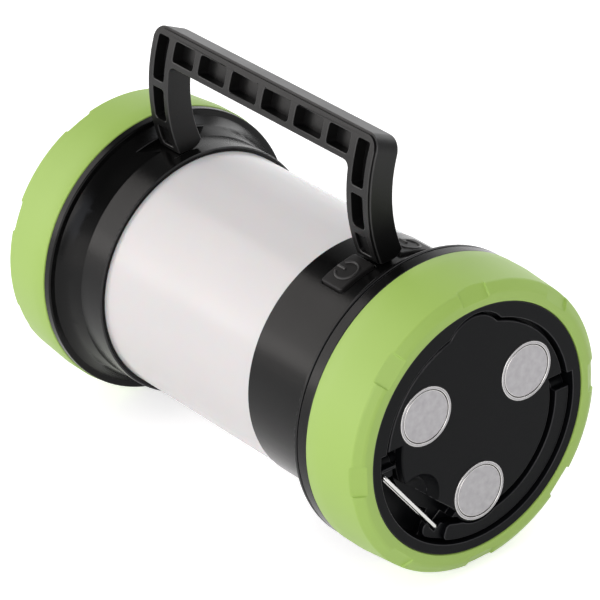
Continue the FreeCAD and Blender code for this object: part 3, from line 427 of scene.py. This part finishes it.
def put_piece(name, mesh, node, materials):
    """Show a mesh in place of a CAD node, on the node's body, with the given materials."""
    mesh.materials.clear()
    for material in materials:
        mesh.materials.append(material)
    piece = bpy.data.objects.new(name, mesh)
    scene.collection.objects.link(piece)
    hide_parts(node)
    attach(piece, body_of(frame["nodes"][node])[0])
    return piece


def evaluated_mesh(piece):
    """The plain mesh that an object's modifiers make."""
    bpy.context.view_layer.update()
    graph = bpy.context.evaluated_depsgraph_get()
    return bpy.data.meshes.new_from_object(piece.evaluated_get(graph))


def smooth_outwards(mesh, sharp_angle=None):
    """Turn a closed mesh's faces outwards and shade it smooth, apart from edges sharper than an angle."""
    shape = bmesh.new()
    shape.from_mesh(mesh)
    bmesh.ops.recalc_face_normals(shape, faces=shape.faces)
    for face in shape.faces:
        face.smooth = True
    if sharp_angle is not None:
        for edge in shape.edges:
            edge.smooth = edge.calc_face_angle(0) < sharp_angle
    shape.to_mesh(mesh)
    shape.free()


def room_beside(loop, width):
    """How far a face runs inwards from one of its edges before it meets its far side."""
    start = loop.vert.co
    end = loop.link_loop_next.vert.co
    along = (end - start).normalized()
    inward = loop.face.normal.cross(along)
    middle = (start + end) / 2
    reach = (end - start).length / 2 + width
    room = 0.0
    nearest = loop.face.calc_perimeter()
    for corner in loop.face.verts:
        offset = corner.co - middle
        depth = offset.dot(inward)
        aside = abs(offset.dot(along))
        room = max(room, depth)
        if aside < reach and depth > FAR_SIDE_SHARE * max(aside, LEAST_ASIDE * MM):
            nearest = min(nearest, depth)
    return min(room, nearest)


def rounds_off(edge, width):
    """Whether an edge is an outer corner with room for a round of this width on both of its faces."""
    if len(edge.link_faces) != 2 or edge.calc_face_angle_signed(0) < CORNER_ANGLE:
        return False
    return all(room_beside(loop, width) > ROUND_ROOM * width for loop in edge.link_loops)


def marked_copy(node, width, name):
    """A merged copy of a CAD solid's mesh, whose edges say where they are rounded and where sharp."""
    shape = bmesh.new()
    shape.from_mesh(frame["nodes"][node].data)
    bmesh.ops.remove_doubles(shape, verts=shape.verts, dist=WELD_DISTANCE * MM)
    bmesh.ops.dissolve_limit(shape, angle_limit=FLAT_ANGLE, verts=shape.verts, edges=shape.edges)
    for face in shape.faces:
        face.smooth = True
        face.material_index = 0
    rounds = shape.edges.layers.float.new("bevel_weight_edge")
    for edge in shape.edges:
        edge[rounds] = float(rounds_off(edge, width))
        edge.smooth = edge.calc_face_angle(0) < SMOOTH_ANGLE
    mesh = bpy.data.meshes.new(name)
    shape.to_mesh(mesh)
    shape.free()
    return mesh


def softened(node, edge_mm, suffix):
    """A CAD solid with its corners rounded as a mould or tumbling leaves them."""
    name = node + suffix
    materials = FINISHES[OWN_FINISHES.get(node, SLOTS[node])]
    piece = put_piece(name, marked_copy(node, edge_mm * MM, name), node, materials)
    edges = piece.modifiers.new("rounded_edges", "BEVEL")
    edges.width = edge_mm * MM
    edges.segments = ROUND_SEGMENTS
    edges.limit_method = "WEIGHT"
    edges.use_clamp_overlap = False
    edges.loop_slide = False
    edges.harden_normals = True
    # The rounded faces take the last finish in the list, which is a paler one painted on as a highlight where
    # the list has two.
    edges.material = len(materials) - 1
    return piece


def blended_lean():
    """How far the surface leans towards the base where the head's cone runs into its flare."""
    leans = [math.atan2(r2 - r1, s2 - s1) for (s1, r1), (s2, r2) in zip(HEAD_FLARE, HEAD_FLARE[1:])]
    return math.sin(sum(leans) / len(leans))


def turned_shading(piece):
    """Light a housing's turned faces as true cylinders and cones, whatever facets they are cut into."""
    mesh = evaluated_mesh(piece)
    piece.modifiers.clear()
    mesh.name = piece.data.name
    piece.data = mesh
    normals = [corner.vector.copy() for corner in mesh.corner_normals]
    axis = Vector((0, 0, AXIS_HEIGHT * MM))
    for face in mesh.polygons:
        across = (face.center - axis) * Vector((0, 1, 1))
        around = Vector((1, 0, 0)).cross(across.normalized())
        if abs(face.normal.dot(around)) > TURNED_SLACK:
            continue
        for corner in face.loop_indices:
            place = mesh.vertices[mesh.loops[corner].vertex_index].co - axis
            spoke = Vector((0, place.y, place.z)).normalized()
            lean = face.normal.x
            if abs(LENGTH / 2 - place.x / MM - HEAD_FLARE[1][0]) < FLARE_SLACK:
                lean = blended_lean()
            outward = math.copysign(math.sqrt(max(0.0, 1 - lean ** 2)), face.normal.dot(across))
            normals[corner] = Vector((lean, 0, 0)) + spoke * outward
    mesh.normals_split_custom_set(normals)


def keep_flat(piece):
    """Keep a piece's flat faces evenly lit right up to their rounded edges."""
    flats = piece.modifiers.new("flat_faces", "WEIGHTED_NORMAL")
    flats.weight = FLAT_WEIGHT
    flats.keep_sharp = True


def paint_rim_highlight(piece, node, leans):
    """Give the rim of the face at a piece's base end the paler edge finish as a painted highlight, where it
    leans this much.
    """
    face_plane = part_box(node)[1][0]
    for face in piece.data.polygons:
        off_axis = math.hypot(face.center.y, face.center.z - AXIS_HEIGHT * MM)
        outer = face.center.x > face_plane - RIM_DEPTH * MM and off_axis > RIM_INNER * MM
        if outer and leans[0] < face.normal.x < leans[1]:
            # The paler edge finish is a painted highlight; on the head it also covers the flat end face, as
            # painted light where that face lies in shade.
            face.material_index = 1


def make_mouldings():
    """The mouldings and magnets with their rounded edges, lit as flat or turned where they are so."""
    pieces = {}
    for edges, suffix in ((MOULDED_EDGES, "_moulding"), (PLATED_EDGES, "_plated")):
        for node, edge_mm in edges.items():
            pieces[node] = softened(node, edge_mm, suffix)
    for node in FLAT_SIDED:
        keep_flat(pieces[node])
    for node in TURNED:
        turned_shading(pieces[node])
    for node, leans in RIM_LEANS.items():
        paint_rim_highlight(pieces[node], node, leans)


def new_tree(name, sizes):
    """An empty Geometry Nodes tree with a named input for each size."""
    tree = bpy.data.node_groups.new(name, "GeometryNodeTree")
    tree.interface.new_socket("Geometry", in_out="INPUT", socket_type="NodeSocketGeometry")
    for size in sizes:
        tree.interface.new_socket(size, in_out="INPUT", socket_type="NodeSocketFloat")
    tree.interface.new_socket("Geometry", in_out="OUTPUT", socket_type="NodeSocketGeometry")
    return tree


def carrier_of(name, mesh, tree, sizes):
    """An object with a Geometry Nodes modifier whose named inputs are set by their identifiers."""
    carrier = bpy.data.objects.new(name, mesh)
    modifier = carrier.modifiers.new(name, "NODES")
    modifier.node_group = tree
    for item in tree.interface.items_tree:
        if item.name in sizes:
            modifier[item.identifier] = sizes[item.name]
    scene.collection.objects.link(carrier)
    return carrier


def baked(carrier):
    """The plain mesh that a carrier object's Geometry Nodes make, with the carrier cleared away."""
    mesh = evaluated_mesh(carrier)
    name = carrier.name
    old = carrier.data
    bpy.data.objects.remove(carrier)
    bpy.data.meshes.remove(old)
    mesh.name = name
    return mesh


def rounded(station, radius, offsets):
    """The points of a rounded corner, from the corner's own station and radius."""
    return [(station + along, radius + outwards) for along, outwards in offsets]


def bumper_profile():
    """Station and radius round the bumper's wall: close together where the notches cut it."""
    points = [(LIP_DEPTH, LIP_RADIUS)]
    points += rounded(0.0, LIP_RADIUS, LIP_ROUND)
    points += rounded(0.0, BUMPER_FACE_RADIUS, FACE_ROUND)
    for row in range(1, BEVEL_ROWS):
        part = BEVEL_START + BEVEL_SHARE * row / BEVEL_ROWS
        radius = BUMPER_FACE_RADIUS + (BUMPER_BEVEL_RADIUS - BUMPER_FACE_RADIUS) * part
        points.append((BUMPER_BEVEL_DEPTH * part, radius))
    points += rounded(BUMPER_BEVEL_DEPTH, BUMPER_BEVEL_RADIUS, BEVEL_ROUND)
    station, radius = points[-1]
    points += [(station + TAPER_STEP * row, radius + TAPER_RISE * row) for row in range(1, TAPER_ROWS)]
    points += [TAPER_MIDDLE, (BUMPER_TAPER_END, BUMPER_RADIUS)]
    points += rounded(BUMPER_LENGTH, BUMPER_RADIUS, END_ROUND)
    points += [(BUMPER_LENGTH, BUMPER_BORE), (LIP_DEPTH, BUMPER_BORE)]
    return points


def turned_ring(name, profile):
    """A closed ring: a profile of stations and radii turned about the X axis."""
    corners = []
    faces = []
    rows = len(profile)
    for step in range(RING_STEPS):
        turn = 2 * math.pi * step / RING_STEPS
        corners += [Vector((s, r * math.cos(turn), r * math.sin(turn))) * MM for s, r in profile]
        here = step * rows
        there = (step + 1) % RING_STEPS * rows
        for row in range(rows):
            after = (row + 1) % rows
            faces.append((here + row, there + row, there + after, here + after))
    mesh = bpy.data.meshes.new(name)
    mesh.from_pydata(corners, [], faces)
    return mesh


def notch_tree():
    """Presses a flat-bottomed notch into the bevel at each step round a ring about the X axis."""
    sizes = ["Count", "Half Width", "Floor", "Slope", "Length", "Softness"]
    tree = new_tree("bumper_notches", sizes)
    start = add(tree, "NodeGroupInput")
    size = {name: start.outputs[name] for name in sizes}

    # Each point's angle round the ring, and the angle of the notch nearest to it.
    where = add(tree, "GeometryNodeInputPosition")
    station, across, up = add(tree, "ShaderNodeSeparateXYZ", links={0: where.outputs[0]}).outputs
    angle = add(tree, "ShaderNodeMath", links={0: up, 1: across}, operation="ARCTAN2")
    step = add(tree, "ShaderNodeMath", {0: 2 * math.pi}, {1: size["Count"]}, operation="DIVIDE")
    half_step = add(tree, "ShaderNodeMath", {1: 0.5}, {0: step.outputs[0]}, operation="MULTIPLY")
    shifted = add(tree, "ShaderNodeMath", operation="ADD",
                  links={0: angle.outputs[0], 1: half_step.outputs[0]})
    nearest = add(tree, "ShaderNodeMath", operation="SNAP",
                  links={0: shifted.outputs[0], 1: step.outputs[0]})
    local = add(tree, "ShaderNodeMath", operation="SUBTRACT",
                links={0: angle.outputs[0], 1: nearest.outputs[0]})

    # How far the point lies aside from that notch's middle, and how high it stands over the notch's floor.
    sideways = add(tree, "ShaderNodeMath", links={0: local.outputs[0]}, operation="SINE")
    outwards = add(tree, "ShaderNodeMath", links={0: local.outputs[0]}, operation="COSINE")
    flat = add(tree, "ShaderNodeCombineXYZ", links={1: across, 2: up})
    radius = add(tree, "ShaderNodeVectorMath", links={0: flat.outputs[0]}, operation="LENGTH")
    offset = add(tree, "ShaderNodeMath", operation="MULTIPLY",
                 links={0: radius.outputs["Value"], 1: sideways.outputs[0]})
    aside = add(tree, "ShaderNodeMath", links={0: offset.outputs[0]}, operation="ABSOLUTE")
    height = add(tree, "ShaderNodeMath", operation="MULTIPLY",
                 links={0: radius.outputs["Value"], 1: outwards.outputs[0]})
    floor = add(tree, "ShaderNodeMath", operation="MULTIPLY_ADD",
                links={0: station, 1: size["Slope"], 2: size["Floor"]})
    over = add(tree, "ShaderNodeMath", operation="SUBTRACT",
               links={0: height.outputs[0], 1: floor.outputs[0]})
    drop = add(tree, "ShaderNodeMath", {1: 0.0}, {0: over.outputs[0]}, operation="MAXIMUM")

    # One inside the notch's width and length, falling to nothing over its softness.
    masks = []
    for measure, limit in ((aside.outputs[0], size["Half Width"]), (station, size["Length"])):
        inner = add(tree, "ShaderNodeMath", links={0: limit, 1: size["Softness"]}, operation="SUBTRACT")
        mask = add(tree, "ShaderNodeMapRange", {"To Min": 1.0, "To Max": 0.0},
                   {"Value": measure, "From Min": inner.outputs[0], "From Max": limit},
                   interpolation_type="SMOOTHSTEP")
        masks.append(mask.outputs[0])
    inside = add(tree, "ShaderNodeMath", links=dict(enumerate(masks)), operation="MULTIPLY")
    depth = add(tree, "ShaderNodeMath", operation="MULTIPLY",
                links={0: inside.outputs[0], 1: drop.outputs[0]})
    press = add(tree, "ShaderNodeMath", {1: -1.0}, {0: depth.outputs[0]}, operation="MULTIPLY")

    # The points move straight in towards the axis, along the notch's own middle.
    notch_y = add(tree, "ShaderNodeMath", links={0: nearest.outputs[0]}, operation="COSINE")
    notch_z = add(tree, "ShaderNodeMath", links={0: nearest.outputs[0]}, operation="SINE")
    outward = add(tree, "ShaderNodeCombineXYZ", links={1: notch_y.outputs[0], 2: notch_z.outputs[0]})
    move = add(tree, "ShaderNodeVectorMath", operation="SCALE",
               links={0: outward.outputs[0], "Scale": press.outputs[0]})
    pressed = add(tree, "GeometryNodeSetPosition",
                  links={"Geometry": start.outputs["Geometry"], "Offset": move.outputs[0]})
    real = add(tree, "GeometryNodeRealizeInstances", links={0: pressed.outputs[0]})
    painted = add(tree, "GeometryNodeSetMaterial", {"Material": FINISHES["green_rubber"][0]},
                  {0: real.outputs[0]})
    add(tree, "NodeGroupOutput", links={0: painted.outputs[0]})
    return tree


def make_bumpers():
    """Both rubber bumpers: a turned ring with its notches pressed in by Geometry Nodes."""
    tree = notch_tree()
    sizes = {"Count": float(NOTCH_COUNT),
             "Half Width": NOTCH_WIDTH / 2 * MM,
             "Floor": (BUMPER_FACE_RADIUS - NOTCH_DEPTH) * MM,
             "Slope": (BUMPER_BEVEL_RADIUS - BUMPER_FACE_RADIUS) / BUMPER_BEVEL_DEPTH,
             "Length": NOTCH_LENGTH * MM,
             "Softness": NOTCH_SOFTNESS * MM}
    profile = bumper_profile()
    for node, end, degrees in (("base_bumper", 1, 0.0), ("head_bumper", -1, HEAD_RING_TURN)):
        name = node + "_ring"
        ring = baked(carrier_of(name, turned_ring(name, profile), tree, sizes))
        turn = Matrix.Rotation(math.radians(degrees), 4, "X")
        place = Matrix.Translation((end * LENGTH / 2 * MM, 0, AXIS_HEIGHT * MM))
        ring.transform(place @ turn @ Matrix.Diagonal((-end, 1, 1, 1)))
        smooth_outwards(ring, RING_SHARP_ANGLE)
        put_piece(name, ring, node, FINISHES["green_rubber"])


def sign_tree():
    """The standby sign as a raised line, an open ring and a bar, wrapped round the lantern's axis."""
    sizes = ["Ring Radius", "Line Radius", "Wrap Radius", "Turn"]
    tree = new_tree("standby_sign", sizes)
    start = add(tree, "NodeGroupInput")
    size = {name: start.outputs[name] for name in sizes}

    # The sign laid flat, with its bar towards negative X.
    gap = math.radians(SIGN_GAP)
    ring = add(tree, "GeometryNodeCurveArc",
               {"Resolution": SIGN_ARC_POINTS,
                "Start Angle": math.pi + gap / 2,
                "Sweep Angle": 2 * math.pi - gap},
               {"Radius": size["Ring Radius"]})
    ends = []
    for reach in SIGN_BAR:
        along = add(tree, "ShaderNodeMath", {1: -reach}, {0: size["Ring Radius"]}, operation="MULTIPLY")
        ends.append(add(tree, "ShaderNodeCombineXYZ", links={0: along.outputs[0]}).outputs[0])
    bar = add(tree, "GeometryNodeCurvePrimitiveLine", links={"Start": ends[0], "End": ends[1]})
    lines = add(tree, "GeometryNodeJoinGeometry", links={0: ring.outputs["Curve"]})
    tree.links.new(bar.outputs["Curve"], lines.inputs[0])
    section = add(tree, "GeometryNodeCurvePrimitiveCircle", {"Resolution": SIGN_SECTION_POINTS},
                  {"Radius": size["Line Radius"]})
    bead = add(tree, "GeometryNodeCurveToMesh", {"Fill Caps": True},
               {"Curve": lines.outputs[0], "Profile Curve": section.outputs["Curve"]})

    # Each point goes round the axis by its distance across the sign, and out by its height over it.
    where = add(tree, "GeometryNodeInputPosition")
    along, aside, up = add(tree, "ShaderNodeSeparateXYZ", links={0: where.outputs[0]}).outputs
    swing = add(tree, "ShaderNodeMath", links={0: aside, 1: size["Wrap Radius"]}, operation="DIVIDE")
    turn = add(tree, "ShaderNodeMath", links={0: size["Turn"], 1: swing.outputs[0]}, operation="SUBTRACT")
    radius = add(tree, "ShaderNodeMath", links={0: size["Wrap Radius"], 1: up}, operation="ADD")
    wrapped = [along]
    for part in ("COSINE", "SINE"):
        ratio = add(tree, "ShaderNodeMath", links={0: turn.outputs[0]}, operation=part)
        reach = add(tree, "ShaderNodeMath", operation="MULTIPLY",
                    links={0: radius.outputs[0], 1: ratio.outputs[0]})
        wrapped.append(reach.outputs[0])
    place = add(tree, "ShaderNodeCombineXYZ", links=dict(enumerate(wrapped)))
    laid = add(tree, "GeometryNodeSetPosition",
               links={"Geometry": bead.outputs[0], "Position": place.outputs[0]})
    real = add(tree, "GeometryNodeRealizeInstances", links={0: laid.outputs[0]})
    # The sign takes the buttons' paler edge finish: a painted highlight.
    painted = add(tree, "GeometryNodeSetMaterial", {"Material": FINISHES["button_rubber"][1]},
                  {0: real.outputs[0]})
    add(tree, "NodeGroupOutput", links={0: painted.outputs[0]})
    return tree


def make_signs():
    """The raised standby sign on each button, upright when the lantern stands on its base."""
    tree = sign_tree()
    for button, degrees in BUTTON_TURNS.items():
        sizes = {"Ring Radius": SIGN_RADIUS * MM, "Line Radius": SIGN_LINE * MM,
                 "Wrap Radius": BUTTON_TOP * MM, "Turn": math.radians(degrees)}
        name = button + "_sign"
        sign = baked(carrier_of(name, bpy.data.meshes.new(name), tree, sizes))
        sign.transform(Matrix.Translation(((LENGTH / 2 - BUTTON_STATION) * MM, 0, AXIS_HEIGHT * MM)))
        smooth_outwards(sign)
        piece = bpy.data.objects.new(name, sign)
        scene.collection.objects.link(piece)
        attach(piece, body_of(frame["nodes"][button])[0])


make_camera()
make_floor()
make_studio()
make_lights()
FINISHES = {**rubber_and_plastic(), **metal_and_electrics()}
SLOTS = {entry["node"]: entry["material_slot"] for entry in frame["record"]["subparts"]}
paint_solids()
make_bumpers()
make_signs()
make_mouldings()
